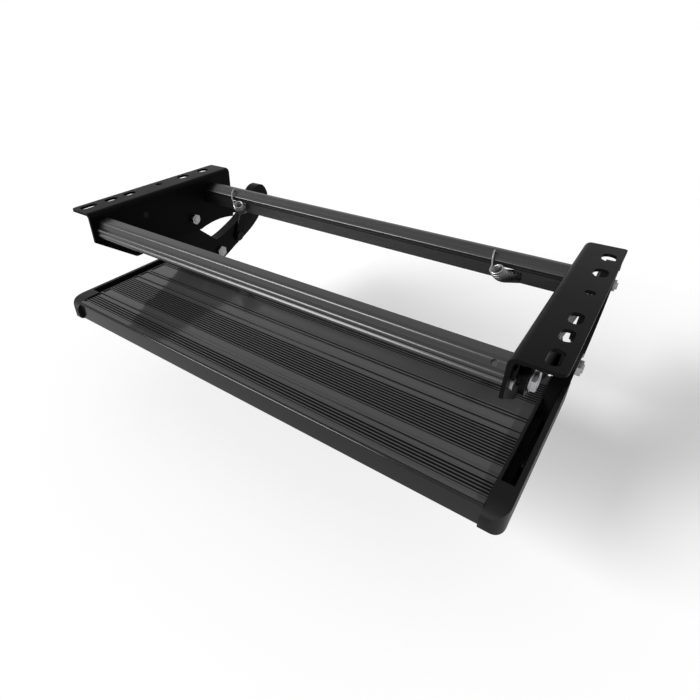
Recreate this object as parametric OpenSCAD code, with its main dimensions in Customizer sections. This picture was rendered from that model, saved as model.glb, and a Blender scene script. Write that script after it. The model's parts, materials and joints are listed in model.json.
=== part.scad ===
// Folding step for a caravan or camper floor, drawn tucked under its frame.
// X runs along the width, -Y is the front, +Z is up. z = 0 is the top of the two
// mounting flanges, and x = y = 0 is the middle of the four rear mounting slots.

/* [View] */
// Piece to draw, or all of them

/* [Frame] */
// Clear width between the two side plates
frame_w = 486; // [380:1:600]
// Length of a side bracket, front to rear
bracket_l = 235; // [200:1:300]
// Sheet thickness of the side brackets
sheet_t = 3; // [2:0.5:5]
// Width of a flange, from the inner face of its plate
flange_w = 37; // [32:1:60]
// Outside radius of the bend between plate and flange
bend_r = 6; // [4:0.5:10]
// Depth of a side plate below the flange top
plate_d = 73; // [60:1:100]
// Depth of a side plate at its front edge
nose_d = 36; // [25:1:50]
// Length over which the lower edge slopes down behind the front edge
nose_run = 52; // [30:1:80]
// Rise of the shallow arch in the lower edge
arch_h = 4; // [1:0.5:8]
// Length of the arch in the lower edge
arch_l = 64; // [30:1:90]

/* [Mounting holes] */
// Distance of the hole line from the outer edge of the flange
hole_in = 11.5; // [8:0.5:20]
// Front edge to the long front slot
slot_a_y = 17; // [14:1:30]
// Front edge to the second slot
slot_b_y = 49; // [40:1:56]
// Front edge to the third slot
slot_c_y = 77; // [66:1:90]
// Front edge to the round hole
round_y = 125; // [100:1:140]
// Front edge to the first rear slot
slot_d_y = 168; // [155:1:175]
// Front edge to the last rear slot
slot_e_y = 206; // [195:1:215]
// Length of the long front slot
slot_a_l = 22; // [12:1:26]
// Length of the second and third slots
slot_b_l = 18; // [12:1:24]
// Width of the three front slots
slot_w = 10; // [8:0.5:12]
// Length of the two rear slots
rear_slot_l = 18; // [12:1:24]
// Width of the two rear slots
rear_slot_w = 12; // [8:0.5:13]
// Diameter of the round hole
round_d = 8.5; // [4:0.5:10]

/* [Cross-members] */
// Wall of the front cross-member
front_wall = 2.2; // [1.5:0.1:3]
// Wall of the rear cross-member
rear_wall = 2.4; // [1.5:0.1:3]
// Front edge of the brackets to the front face of the rear cross-member
rear_y = 185; // [170:1:195]
// Diameter of the small hole in the front cross-member
small_hole_d = 5; // [3:0.5:8]
// Distance of that hole from the right side plate
small_hole_in = 9.8; // [8:0.1:40]

/* [Linkage] */
// Front edge of the brackets to the arm pivot
pivot_y = 28; // [24:0.5:36]
// Depth of the arm pivot below the flange top
pivot_z = 32; // [28:0.5:38]
// Length of a swing arm, pivot to pivot
arm_l = 202.8; // [180:0.2:230]
// Slope of the swing arms when the step is tucked away
arm_slope = 27.45; // [20:0.05:35]
// Width of a swing arm
arm_w = 26; // [20:1:34]
// Thickness of a swing arm
arm_t = 4.5; // [3:0.5:6]
// Distance of the bend in the arm from its pivot, along the arm
arm_bend_at = 116; // [90:1:140]
// Height of the bend above the straight line through the pivots
arm_bend_up = 20; // [0:1:30]
// Distance of the arm's belly from its pivot, along the arm
arm_belly_at = 136; // [110:1:150]
// Depth of the belly below the straight line through the pivots
arm_belly_down = 8.5; // [4:0.5:9]
// Space between a side plate and its swing arm
arm_gap = 5.5; // [4.5:0.5:8]
// Offset of the control link behind the swing arm
link_dy = 50; // [40:1:60]
// Offset of the control link above the swing arm
link_dz = 8; // [2:1:12]
// Width of a control link
link_w = 18; // [14:1:24]
// Thickness of a control link
link_t = 3.5; // [3:0.5:5]
// Distance of the bend in the link from its upper pivot, along the arm's line
link_bend_at = 202; // [180:1:215]
// Height of that bend above the line through the link's pivots
link_bend_up = 49; // [30:1:56]
// Swing from tucked away to pulled out, in degrees
swing = 58; // [40:1:60]
// Front edge of the brackets to the stop bolt
stop_y = 156.5; // [150:0.5:170]
// Depth of the stop bolt below the flange top
stop_z = 54; // [50:0.5:60]
// Radius of the stop bolt's round head, sunk in the end of its sleeve
stop_head_r = 6; // [5:0.5:7]
// Height of that head
stop_head_h = 2.6; // [2:0.1:4]

/* [Fits] */
// Radial clearance of a pin that turns in its bush
run_fit = 0.05; // [0.02:0.01:0.1]
// Clearance of fixed pins, screws and bushes in their holes
fixed_fit = 0.05; // [0.02:0.01:0.2]
// Side clearance between pieces that swing past each other
side_gap = 0.4; // [0.3:0.1:1]
// Clearance left at a stop
stop_gap = 0.3; // [0.2:0.1:1]
// Radial clearance of the control links on their lower rivets
open_fit = 0.3; // [0.2:0.05:0.6]

/* [Pivots and bolts] */
// Radius of the arm pins and carrier bolts
arm_pin_r = 6; // [5:0.5:7]
// Wall of the bushes in the swing arms
bush_wall = 1.5; // [1:0.25:2]
// Radius of the control link pins
link_pin_r = 4.5; // [4:0.5:6]
// Radius of the stop bolt
stop_r = 4; // [3:0.5:5]
// Radius of the tail bolt
tail_r = 4; // [3:0.5:5]
// Radius of the spring sleeve on the tail bolt
sleeve_r = 5.4; // [5:0.1:7]
// Radius of the cross-member screws
screw_r = 2.9; // [2:0.1:4]
// Radius of the carrier screws
carrier_screw_r = 2.6; // [2:0.1:3]

/* [Tread] */
// Depth of the tread, front to rear
tread_d = 185; // [150:1:210]
// Thickness of the tread below its ribs
tread_t = 22.6; // [18:0.2:30]
// Wall of the tread extrusion
tread_wall = 2.2; // [1.6:0.1:3]
// Carrier bolt to the front edge of the tread
tread_ahead = 242; // [230:1:260]
// Height of the tread surface above the carrier bolt
tread_up = 17.1; // [12:0.1:24]
// Height of the grip ribs
rib_h = 0.9; // [0.4:0.1:1.5]
// Width of a grip rib at its foot
rib_w = 1.8; // [0.8:0.1:2.4]
// Spacing of the grip ribs
rib_pitch = 3.6; // [2.6:0.1:5]
// Height of the raised lines along the tread
bead_h = 1.4; // [0.6:0.1:2]
// Front edge of the tread to the front screw port
port_a = 70; // [60:1:80]
// Rear edge of the tread to the rear screw port
port_b = 35; // [25:1:45]
// Height of the screw ports above the tread's underside
port_up = 7.8; // [7.2:0.1:12]

/* [End caps] */
// Inner wall of an end cap, against the tread's end
cap_wall = 2.5; // [2:0.1:4]
// Width of the open channel between tread and rim
cap_channel = 11; // [10.9:0.1:16]
// Thickness of the rim
rim_t = 4.5; // [3:0.5:6]
// Height of the rim above the tread surface
rim_up = 2.5; // [0:0.5:6]
// Thickness of the cap's floor
cap_floor = 2.5; // [2:0.1:4]
// Reach of the cap's nose in front of the tread
nose_out = 5; // [2:0.5:12]
// Length of the solid nose behind the tread's front edge
nose_l = 29; // [20:1:40]
// Radius of the nose's outer corner
nose_r = 15; // [8:0.5:18]
// Overhang of the cap behind the tread
cap_tail = 2; // [0:0.5:6]

/* [Carrier arms] */
// Thickness of a carrier arm
carrier_t = 6; // [4:0.5:8]
// Width of the folded lip along the carrier's upper edge, beyond its thickness
lip_w = 9.7; // [6:0.1:9.7]
// Thickness of that lip
lip_t = 3; // [2:0.5:4]
// Carrier bolt to the tail bolt, rearward
tail_dy = 110; // [100:1:120]
// Carrier bolt to the tail bolt, upward
tail_dz = 49.5; // [44:0.5:56]
// Depth of the carrier's limb top below the tread surface
limb_sink = 9.6; // [6:0.1:11]

/* [Springs] */
// Radius of the spring wire
wire_r = 0.95; // [0.6:0.05:1.5]
// Radius of the coil, to the middle of the wire
coil_r = 6; // [4:0.25:8]
// Number of curls in one spring
curls = 30; // [20:1:40]
// Spacing of the curls
curl_pitch = 3.2; // [2.4:0.1:4]
// Steepest angle of the coil below the level, at its first curl
steep = 60; // [45:1:65]
// Radius of the bend in the coil behind its first curls
coil_bend = 27; // [26:1:40]
// Right side plate to the first curl of the right spring
coil_in_right = 62.6; // [50:0.1:80]
// Left side plate to the first curl of the left spring
coil_in_left = 75; // [60:0.1:90]
// Depth of the right spring's first curl below the flange top
coil_low_right = 21.5; // [20:0.1:26]
// Depth of the left spring's first curl below the flange top
coil_low_left = 22.5; // [20:0.1:26]
// Right side plate to the right spring's hook
hook_in_right = 72.3; // [60:0.1:90]
// Left side plate to the left spring's hook
hook_in_left = 51; // [40:0.1:70]

/* [Hidden] */
$fn = 64;

// Places across the width, from the side plate outwards
x_in = frame_w / 2;
x_out = x_in + sheet_t;
x_edge = x_in + flange_w;
arm_x = x_out + arm_gap;
arm_x1 = arm_x + arm_t;
link_x = arm_x1 + side_gap;
link_x1 = link_x + link_t;
carrier_x = link_x1 + side_gap;
carrier_x1 = carrier_x + carrier_t;
cap_x = carrier_x - side_gap;
tread_x = cap_x - cap_wall;
rim_x = cap_x + cap_channel;
cap_x1 = rim_x + rim_t;
hole_x = x_edge - hole_in;
oy = round_y;

// Linkage points as [y, z], with y counted from the front edge of the brackets
u = [cos(arm_slope), -sin(arm_slope)];
n = [sin(arm_slope), cos(arm_slope)];
pA = [pivot_y, -pivot_z];
pD = pA + arm_l * u;
pK = pA + arm_bend_at * u + arm_bend_up * n;
off = [link_dy, link_dz];
pB = pA + off;
pE = pD + off;
pM = pB + link_bend_at * u + link_bend_up * n;
pN = pA + arm_belly_at * u - arm_belly_down * n;
pS = [stop_y, -stop_z];
pT = pD + [tail_dy, tail_dz];

function turn(p, a) = [cos(a) * p[0] - sin(a) * p[1], sin(a) * p[0] + cos(a) * p[1]];
function unit(v) = v / norm(v);
function slope_of(v) = atan2(v[1], v[0]);
function line_gap(p, a, b) = let (d = unit(b - a), w = p - a) abs(d[0] * w[1] - d[1] * w[0]);
// The sleeve on the stop bolt meets the arm's upper edge when the step is tucked away
stop_sleeve_r = line_gap(pS, pK, pD) - arm_w / 2 - stop_gap;
// The buffer on the tail bolt meets the control link when the step is pulled out
out_M = pE + turn(pM - pE, -swing);
out_B = pE + turn(pB - pE, -swing);
buffer_r = line_gap(pT, out_M, out_B) - link_w / 2 - stop_gap;
bush_r = arm_pin_r + run_fit + bush_wall;

// Tread and cap places
ty0 = pD[0] - tread_ahead;
ty1 = ty0 + tread_d;
tz1 = pD[1] + tread_up;
tz0 = tz1 - tread_t;
port_z = tz0 + port_up;
ports = [[ty0 + port_a, port_z], [ty1 - port_b, port_z]];
limb_z0 = tz0 + cap_floor + side_gap;
limb_z1 = tz1 - limb_sink;
limb_y0 = ty0 + nose_l + 2;

// Screw places of the two cross-members
front_ports = [[13, -19], [12.9, -30.1]];
rear_ports = [[rear_y + 6, -32.4], [rear_y + 11, -20.6]];

module side(s) mirror([s < 0 ? 1 : 0, 0, 0]) translate([0, -oy, 0]) children();
module both() { side(1) children(); side(-1) children(); }
module mid() translate([0, -oy, 0]) children();
// A flat shape in y and z, made solid along X
module yz(x0, x1) translate([x0, 0, 0]) rotate([90, 0, 90]) linear_extrude(x1 - x0) children();
module rod(x0, x1, p, r) translate([x0, p[0], p[1]]) rotate([0, 90, 0]) cylinder(h = x1 - x0, r = r);
module ring(x0, x1, p, r, ri) difference() {
    rod(x0, x1, p, r);
    rod(x0 - 1, x1 + 1, p, ri);
}
// A hexagon across X, from its width across flats
module hex(x0, x1, p, af) translate([x0, p[0], p[1]]) rotate([0, 90, 0])
    cylinder(h = x1 - x0, r = af / sqrt(3), $fn = 6);
module hex_nut(x0, x1, p, af, ri) difference() {
    hex(x0, x1, p, af);
    rod(x0 - 1, x1 + 1, p, ri);
}
function back(v) = [for (i = [len(v) - 1:-1:0]) v[i]];
function bez(a, b, c, d, m) = [for (i = [1:m]) let (t = i / m, s = 1 - t)
    s * s * s * a + 3 * s * s * t * b + 3 * s * t * t * c + t * t * t * d];
function arc(c, r, a0, a1, m) = [for (i = [0:m]) let (a = a0 + (a1 - a0) * i / m) c + r * [cos(a), sin(a)]];
// The outline of a flat bar with round ends that bends down at k
module bar(a, k, b, w) let (a1 = slope_of(k - a), a2 = slope_of(b - k))
    let (n1 = [-sin(a1), cos(a1)], n2 = [-sin(a2), cos(a2)]) polygon(concat(
        [k - w / 2 * (n1 + n2) / (1 + n1 * n2)],
        arc(b, w / 2, a2 - 90, a2 + 90, 16),
        arc(k, w / 2, a2 + 90, a1 + 90, 8),
        arc(a, w / 2, a1 + 90, a1 + 270, 16)));

// Places along the tail bolt, from its head to the carrier
buffer_x = carrier_x - link_t - side_gap;
sleeve_in = buffer_x - 8.4;
loop_x = (sleeve_in + buffer_x) / 2;

// Each spring's coil starts ahead of the rear cross-member, bends down and heads for its tail sleeve.
// s is 1 for the right spring and -1 for the left one.
coil_y = rear_y - 13;
hook_y = rear_y + 7.5;
function coil_start(s) = s > 0 ? [x_in - coil_in_right, coil_y, -coil_low_right]
    : [coil_in_left - x_in, coil_y, -coil_low_left];
function hook_x(s) = s > 0 ? x_in - hook_in_right : hook_in_left - x_in;
function heading(s) = unit([s * loop_x - coil_start(s)[0], pT[0] - coil_y, 0]);

// Frame pieces
module flange_slot(x, y, l, w, a) translate([x, y, -sheet_t - 1]) rotate(a) linear_extrude(sheet_t + 2) {
    square([l - w, w], center = true);
    for (s = [-1, 1]) translate([s * (l - w) / 2, 0]) circle(d = w);
}
plate_r = 8;
slope_a = atan2(plate_d - nose_d, nose_run);
arch_r = (arch_l * arch_l / 4 + arch_h * arch_h) / (2 * arch_h);
module plate_2d() difference() {
    polygon(concat(
        [[bracket_l, 1], [0, 1], [0, -nose_d]],
        arc([nose_run + plate_r * tan(slope_a / 2), -plate_d + plate_r], plate_r, 270 - slope_a, 270, 6),
        [[bracket_l, -plate_d]]));
    translate([bracket_l - arch_l / 2 - 3, arch_h - plate_d - arch_r]) circle(arch_r);
}
module bracket_2d() {
    translate([x_in, -plate_d - 1]) square([sheet_t, plate_d + 1 - bend_r]);
    translate([x_in + bend_r, -sheet_t]) square([flange_w - bend_r, sheet_t]);
    translate([x_in + bend_r, -bend_r]) intersection() {
        difference() {
            circle(bend_r);
            circle(bend_r - sheet_t);
        }
        translate([-bend_r, 0]) square(bend_r);
    }
}
front_corner_r = 6;
rear_corner_r = 3;
module bracket_plan() polygon(concat(
    [[x_in - 1, bracket_l], [x_in - 1, 0]],
    arc([x_edge - front_corner_r, front_corner_r], front_corner_r, -90, 0, 5),
    arc([x_edge - rear_corner_r, bracket_l - rear_corner_r], rear_corner_r, 0, 90, 4)));
module bracket() color("#222222") difference() {
    intersection() {
        translate([0, bracket_l, 0]) rotate([90, 0, 0]) linear_extrude(bracket_l) bracket_2d();
        yz(x_in - 1, x_edge + 1) plate_2d();
        translate([0, 0, -plate_d - 2]) linear_extrude(plate_d + 3) bracket_plan();
    }
    flange_slot(hole_x, slot_a_y, slot_a_l, slot_w, 90);
    flange_slot(hole_x, slot_b_y, slot_b_l, slot_w, 90);
    flange_slot(hole_x, slot_c_y, slot_b_l, slot_w, 90);
    flange_slot(hole_x, slot_d_y, rear_slot_l, rear_slot_w, 90);
    flange_slot(hole_x, slot_e_y, rear_slot_l, rear_slot_w, 90);
    translate([hole_x, round_y, -sheet_t - 1]) cylinder(h = sheet_t + 2, d = round_d);
    for (p = concat(front_ports, rear_ports)) rod(x_in - 1, x_out + 1, p, screw_r + fixed_fit);
    rod(x_in - 1, x_out + 1, pA, arm_pin_r + fixed_fit);
    rod(x_in - 1, x_out + 1, pB, link_pin_r + fixed_fit);
    rod(x_in - 1, x_out + 1, pS, stop_r + fixed_fit);
}
module bracket_left() side(-1) bracket();
module bracket_right() side(1) bracket();

port_wall = 1.25;
module ports_2d(ps, r) for (p = ps) translate(p) circle(r);
// Front cross-member: a closed box with two rounded beads down its front
front_top = 10;
front_back = 22;
front_low = 36;
module cross_front_2d() let (w = front_wall, t = -front_top, b = front_back) difference() {
    union() {
        difference() {
            polygon(concat(
                [[b, t]],
                bez([b - 7, t - 0.6], [b - 10.5, t - 0.9], [b - 12.2, t - 2], [b - 12.6, t - 4.5], 6),
                [[b - 13.6, t - 8.2]],
                arc([b - 14.3, t - 11.7], 3, 105, 235, 8),
                arc([b - 14.6, t - 17.5], 2.9, 130, 235, 7),
                [[b - 9.1, 0.6 - front_low], [b, -front_low]]));
            polygon([[b - w, t - w - 0.2], [b - 7.8, t - 3.1], [b - 10.1, t - 4.9], [b - 11.1, t - 9.6],
                [b - 11.8, t - 14.2], [b - 12.2, t - 18.6], [b - 8.4, 2.6 - front_low],
                [b - w, w - front_low]]);
        }
        ports_2d(front_ports, screw_r + port_wall);
        translate([front_ports[0][0] - w / 2, 1.5 - front_low]) square([w, front_low - front_top - 3.5]);
    }
    ports_2d(front_ports, screw_r + fixed_fit);
}
module cross_front() color("#1d1d1f") mid() difference() {
    yz(-x_in, x_in) cross_front_2d();
    translate([x_in - small_hole_in, front_back - 13.7, -front_top - 4]) rotate([45, 0, 0])
        translate([0, 0, -3]) cylinder(h = 8, d = small_hole_d);
}

// Rear cross-member: open below, with a bead and a groove on its front and a ridged, sloping top
rear_top = 12.7;
rear_back = 16.5;
rear_low = 37.1;
rear_lip = 27.5;
ridges = [for (i = [0:4]) each [[3 + i * 2.4, -4.9 + i * 0.9], [4 + i * 2.4, -3.9 + i * 0.9]]];
module cross_rear_2d() let (w = rear_wall, y = rear_y, e = rear_y + rear_back + 2, t = -rear_top) difference() {
    union() {
        polygon(back(concat(
            [[y, -rear_low], [y, t - 11.5], [y + 1.2, t - 10.9], [y + 1.2, t - 9.7], [y + 0.1, t - 9.1]],
            arc([y + 1.4, t - 7.2], 1.8, 210, 110, 4),
            [for (p = ridges) p + [y, t]],
            arc([e - 2, t - 2], 2, 80, 0, 4),
            [[e, -rear_lip], [e - w, -rear_lip], [e - w, t - 3.4], [y + 4, t - 8], [y + 3.6, t - 9]],
            [[y + 3.6, t - 11.6], [y + w, t - 12.8], [y + w, -rear_low]])));
        ports_2d(rear_ports, screw_r + port_wall);
    }
    ports_2d(rear_ports, screw_r + fixed_fit);
}
// Where a spring passes under the front wall, and the hole that its hook sits in
notch_w = 2 * coil_r + 14;
notch_d = 12;
notch_top = 24.4;
module spring_notch(s) let (h = heading(s), y = rear_y - coil_y + notch_d / 2) {
    translate([coil_start(s)[0] + y * h[0] / h[1] - notch_w / 2, rear_y - 1, -rear_low - 1])
        cube([notch_w, notch_d + 1, rear_low + 1 - notch_top]);
    translate([hook_x(s), hook_y, -30]) cylinder(h = 30, r = wire_r + 0.75);
}
module cross_rear() color("#1d1d1f") mid() difference() {
    yz(-x_in, x_in) cross_rear_2d();
    spring_notch(1);
    spring_notch(-1);
}
head_h = 2.8;
head_r = 5;
screw_l = 22;
module end_screws(ps) both() for (p = ps) {
    rod(x_out - screw_l, x_out + 1, p, screw_r);
    rod(x_out, x_out + head_h, p, head_r);
}
module cross_screws() color("silver") end_screws(concat([front_ports[1]], rear_ports));
module cross_studs() color("#333333") end_screws([front_ports[0]]);
pin_end = arm_x1 + side_gap;
washer_t = 1.6;
module arm_pins() color("silver") both() {
    rod(x_in, pin_end, pA, arm_pin_r);
    rod(x_in, pin_end + washer_t + 4.2, pA, arm_pin_r - 1);
}
module arm_collars() color("#333333") both()
    ring(x_out, arm_x - side_gap, pA, bush_r, arm_pin_r + fixed_fit);
module arm_washers() color("silver") both()
    ring(pin_end, pin_end + washer_t, pA, 9, arm_pin_r - 1 + fixed_fit);
module arm_nuts() color("silver") both()
    hex_nut(pin_end + washer_t, pin_end + washer_t + 3.8, pA, 15, arm_pin_r - 1 + fixed_fit);
link_head_x = link_x1 + side_gap;
module link_pins() color("#333333") both() {
    rod(x_in, link_head_x + 1, pB, link_pin_r);
    rod(link_head_x, link_head_x + 1.2, pB, 6);
}
module link_collars() color("#333333") both()
    ring(x_out, link_x - side_gap, pB, 6.5, link_pin_r + fixed_fit);
stop_end = arm_x1;
module stop_bolts() color("silver") both() {
    rod(x_in - 6, stop_end - 1, pS, stop_r);
    rod(stop_end - 0.2 - stop_head_h, stop_end - 0.2, pS, stop_head_r);
}
module stop_sleeves() color("#333333") both() difference() {
    ring(x_out, stop_end, pS, stop_sleeve_r, stop_r + fixed_fit);
    rod(stop_end - 0.3 - stop_head_h, stop_end + 1, pS, stop_head_r + 0.2);
}
module stop_nuts() color("silver") both()
    hex_nut(x_in - 5, x_in, pS, 13, stop_r + fixed_fit);

// Swing arms and control links
module arm_2d() let (r = arm_w / 2, a1 = slope_of(pK - pA), a2 = slope_of(pD - pK),
    b1 = slope_of(pN - pA) + asin(r / norm(pN - pA)), b2 = slope_of(pD - pN) - asin(r / norm(pD - pN)))
    polygon(concat([pN], arc(pD, r, b2 - 90, a2 + 90, 16), arc(pK, r, a2 + 90, a1 + 90, 8),
        arc(pA, r, a1 + 90, b1 + 270, 16)));
module arm() color("#242424") yz(arm_x, arm_x1) difference() {
    arm_2d();
    for (p = [pA, pD]) translate(p) circle(bush_r + fixed_fit);
}
module arm_left() side(-1) arm();
module arm_right() side(1) arm();
module arm_bushes() color("#b08d57") both() for (p = [pA, pD])
    ring(arm_x, arm_x1, p, bush_r, arm_pin_r + run_fit);
module link() color("#242424") yz(link_x, link_x1) difference() {
    bar(pB, pM, pE, link_w);
    translate(pB) circle(link_pin_r + run_fit);
    translate(pE) circle(link_pin_r + open_fit);
}
module link_left() side(-1) link();
module link_right() side(1) link();

// Tread: a hollow extrusion with grip ribs and raised lines
rib_bands = [[10.4, 25], [46, 82.5], [135.3, tread_d - 16.8]];
beads = [32.4, 90.6, 106.5, 110.5];
webs = [24, port_a, 110, tread_d - port_b];
module rib(y, w, h) translate([ty0 + y, tz1])
    polygon([[w / 2, -0.1], [w / 2, 0], [w / 2.6, h], [-w / 2.6, h], [-w / 2, 0], [-w / 2, -0.1]]);
module tread_2d() difference() {
    union() {
        difference() {
            polygon(concat([[ty1, tz0], [ty1, tz1]], arc([ty0 + 2, tz1 - 2], 2, 90, 180, 4),
                arc([ty0 + 2, tz0 + 2], 2, 180, 270, 4)));
            translate([ty0 + tread_wall, tz0 + tread_wall])
                square([tread_d - 2 * tread_wall, tread_t - 2 * tread_wall]);
        }
        for (y = webs) translate([ty0 + y - tread_wall / 2, tz0 + 1]) square([tread_wall, tread_t - 2]);
        for (b = rib_bands) for (y = [b[0]:rib_pitch:b[1]]) rib(y, rib_w, rib_h);
        for (y = beads) rib(y, 2.6, bead_h);
        rib(4, 5.2, rib_h);
        ports_2d(ports, carrier_screw_r + port_wall);
    }
    ports_2d(ports, carrier_screw_r + fixed_fit);
}
module tread() color("#1d1d1f") mid() yz(-tread_x, tread_x) tread_2d();

// End caps: an inner wall, a floor and an outer rim round the channel for the carrier arm
cap_y0 = ty0 - nose_out;
cap_y1 = ty1 + cap_tail;
rim_z = tz1 + rim_up;
module cap_plan() polygon(concat([[tread_x, cap_y1], [tread_x, cap_y0]],
    arc([cap_x1 - nose_r, cap_y0 + nose_r], nose_r, -90, 0, 8), [[cap_x1, cap_y1]]));
module cap_side() polygon(concat([[cap_y1, tz0], [cap_y1, rim_z - 3], [cap_y1 - 3, rim_z]],
    bez([ty0 + nose_l - 6, rim_z], [cap_y0 + 14, rim_z + 0.4], [cap_y0 + 2, rim_z - 2],
        [cap_y0, rim_z - 11], 8),
    bez([cap_y0, tz0 + 7], [cap_y0 + 0.5, tz0 + 2], [cap_y0 + 3, tz0 + 0.5], [cap_y0 + 8, tz0], 5)));
module cap() color("#1a1a1c") {
    difference() {
        intersection() {
            translate([0, 0, tz0]) linear_extrude(rim_z - tz0) cap_plan();
            yz(tread_x - 1, cap_x1 + 1) cap_side();
        }
        translate([cap_x, ty0 + nose_l, tz0 + cap_floor]) cube([cap_channel, tread_d, tread_t + 9]);
        translate([tread_x - 1, ty0 + nose_l, tz1 + rib_h]) cube([cap_wall + 2, tread_d, 20]);
        for (p = ports) rod(tread_x - 1, cap_x + 1, p, carrier_screw_r + fixed_fit);
    }
    // Rear end of the channel, beside the carrier arm
    translate([carrier_x1 + side_gap, cap_y1 - cap_wall, tz0 + cap_floor - 1])
        cube([rim_x - carrier_x1, cap_wall, tread_t - cap_floor + 1]);
}
module cap_left() side(-1) cap();
module cap_right() side(1) cap();

// Carrier arms: a limb in the cap's channel, and a goose neck up to the tail bolt
function at_d(y, z) = pD + [y, z];
rise_y = -112;
limb_up = limb_z1 - pD[1];
hump = concat([at_d(rise_y, limb_up)],
    bez(at_d(rise_y, limb_up), at_d(-92, limb_up), at_d(-92, 37), at_d(-56, 34.5), 9),
    bez(at_d(-56, 34.5), at_d(-42, 35), at_d(-26, 34), at_d(-16, 28), 5));
neck = concat(
    bez(at_d(-16, 28), at_d(-8, 23), at_d(-6, 17), at_d(3, 17.5), 6),
    bez(at_d(3, 17.5), at_d(20, 20), at_d(34, 26), at_d(44, 29.5), 6),
    bez(at_d(44, 29.5), at_d(62, 36), at_d(72, 44), at_d(78, 52), 6),
    bez(at_d(78, 52), at_d(88, 64), at_d(92, 77.5), at_d(109, 77.5), 7),
    bez(at_d(109, 77.5), at_d(120, 77.5), at_d(124, 70), at_d(128, 63), 6));
module carrier_2d() polygon(concat(
    [[limb_y0, limb_z0], [limb_y0, limb_z1]], hump, neck,
    bez(at_d(128, 63), at_d(135, 50), at_d(122, 42), at_d(108, 28), 7),
    bez(at_d(108, 28), at_d(90, 10), at_d(67, 3), at_d(45, -5.5), 7),
    bez(at_d(45, -5.5), at_d(24, -14), at_d(16, -20.5), at_d(-3, -20.5), 7),
    bez(at_d(-3, -20.5), at_d(-20, -20.5), at_d(-32, -8), [cap_y1 + 4, limb_z0 - 0.6], 7),
    [[cap_y1 + 1, limb_z0]]));
// The folded lip follows the upper edge, narrow beside the cap's rim and wide where it clears it
rise_end = 6;
function under(v) = [for (i = [len(v) - 1:-1:0])
    let (d = unit(v[min(i + 1, len(v) - 1)] - v[max(i - 1, 0)])) v[i] + lip_t * [d[1], -d[0]]];
module lip_2d(v) polygon(concat(v, under(v)));
module carrier() color("#202020") difference() {
    union() {
        yz(carrier_x, carrier_x1) carrier_2d();
        yz(carrier_x, rim_x - side_gap) lip_2d([for (i = [0:rise_end]) hump[i]]);
        yz(carrier_x, carrier_x1 + lip_w) lip_2d(concat([for (i = [rise_end:len(hump) - 1]) hump[i]], neck));
    }
    for (p = ports) rod(carrier_x - 1, carrier_x1 + 1, p, carrier_screw_r + fixed_fit);
    rod(carrier_x - 1, carrier_x1 + 1, pD, arm_pin_r - 1 + fixed_fit);
    rod(carrier_x - 1, carrier_x1 + 1, pE, link_pin_r + fixed_fit);
    rod(carrier_x - 1, carrier_x1 + 1, pT, tail_r + fixed_fit);
}
module carrier_left() side(-1) carrier();
module carrier_right() side(1) carrier();

bolt_r = arm_pin_r - 1;
bolt_in = arm_x - side_gap;
bolt_out = x_edge - 0.2;
module carrier_bolts() color("silver") both() {
    hex(bolt_in - 3.6, bolt_in, pD, 16);
    rod(bolt_in - 1, carrier_x, pD, arm_pin_r);
    rod(carrier_x - 1, bolt_out, pD, bolt_r);
}
module carrier_spacers() color("#333333") both()
    ring(arm_x1 + side_gap, carrier_x, pD, 9, arm_pin_r + fixed_fit);
module carrier_washers() color("silver") both()
    ring(carrier_x1, carrier_x1 + washer_t, pD, 10, bolt_r + fixed_fit);
module carrier_nuts() color("silver") both()
    hex_nut(carrier_x1 + washer_t, bolt_out - 1.2, pD, 17, bolt_r + fixed_fit);
rivet_in = link_x - side_gap;
module link_rivets() color("#333333") both() {
    rod(rivet_in - 1.8, rivet_in, pE, 7);
    rod(rivet_in - 1, carrier_x1 + 1, pE, link_pin_r);
    rod(carrier_x1, carrier_x1 + 1.8, pE, 6.5);
}
module tail_bolts() color("silver") both() {
    rod(sleeve_in - 4, sleeve_in, pT, 6.5);
    rod(sleeve_in - 1, bolt_out, pT, tail_r);
}
module tail_sleeves() color("#333333") both() ring(sleeve_in, buffer_x, pT, sleeve_r, tail_r + fixed_fit);
module tail_buffers() color("#111111") both() ring(buffer_x, carrier_x, pT, buffer_r, tail_r + fixed_fit);
module tail_washers() color("silver") both()
    ring(carrier_x1, carrier_x1 + washer_t, pT, 8.5, tail_r + fixed_fit);
module tail_nuts() color("silver") both()
    hex_nut(carrier_x1 + washer_t, bolt_out - 1.8, pT, 13, tail_r + fixed_fit);
module carrier_screws() color("#333333") both() for (p = ports) {
    rod(tread_x - 16, carrier_x1 + 1, p, carrier_screw_r);
    rod(carrier_x1, carrier_x1 + 3.1, p, 4.6);
}

// Springs: one wire from the hook in the rear cross-member, through the coil, to the loop on the tail sleeve.
// Depth of the tail bolt below the first curl, and its distance in plan
function low(s) = coil_start(s)[2] - pT[1];
function run(s) = norm([s * loop_x - coil_start(s)[0], pT[0] - coil_y]);
// Slope of the coil behind its bend, found in a few rounds
function slope(s, k = 6) = k == 0 ? 15 : let (a = slope(s, k - 1))
    atan2(low(s) - coil_bend * (cos(a) - cos(steep)), run(s) - coil_bend * (sin(steep) - sin(a)));
// The coil's angle below the level, and its middle, at a distance d along it
function dip(d, a1) = max(a1, steep - d / coil_bend * 180 / PI);
function past(d, a1) = max(0, d - coil_bend * (steep - a1) * PI / 180);
function axis(s, d, a1) = let (a = dip(d, a1), e = past(d, a1))
    coil_start(s) + (coil_bend * (sin(steep) - sin(a)) + e * cos(a)) * heading(s)
        - [0, 0, coil_bend * (cos(a) - cos(steep)) + e * sin(a)];
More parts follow.
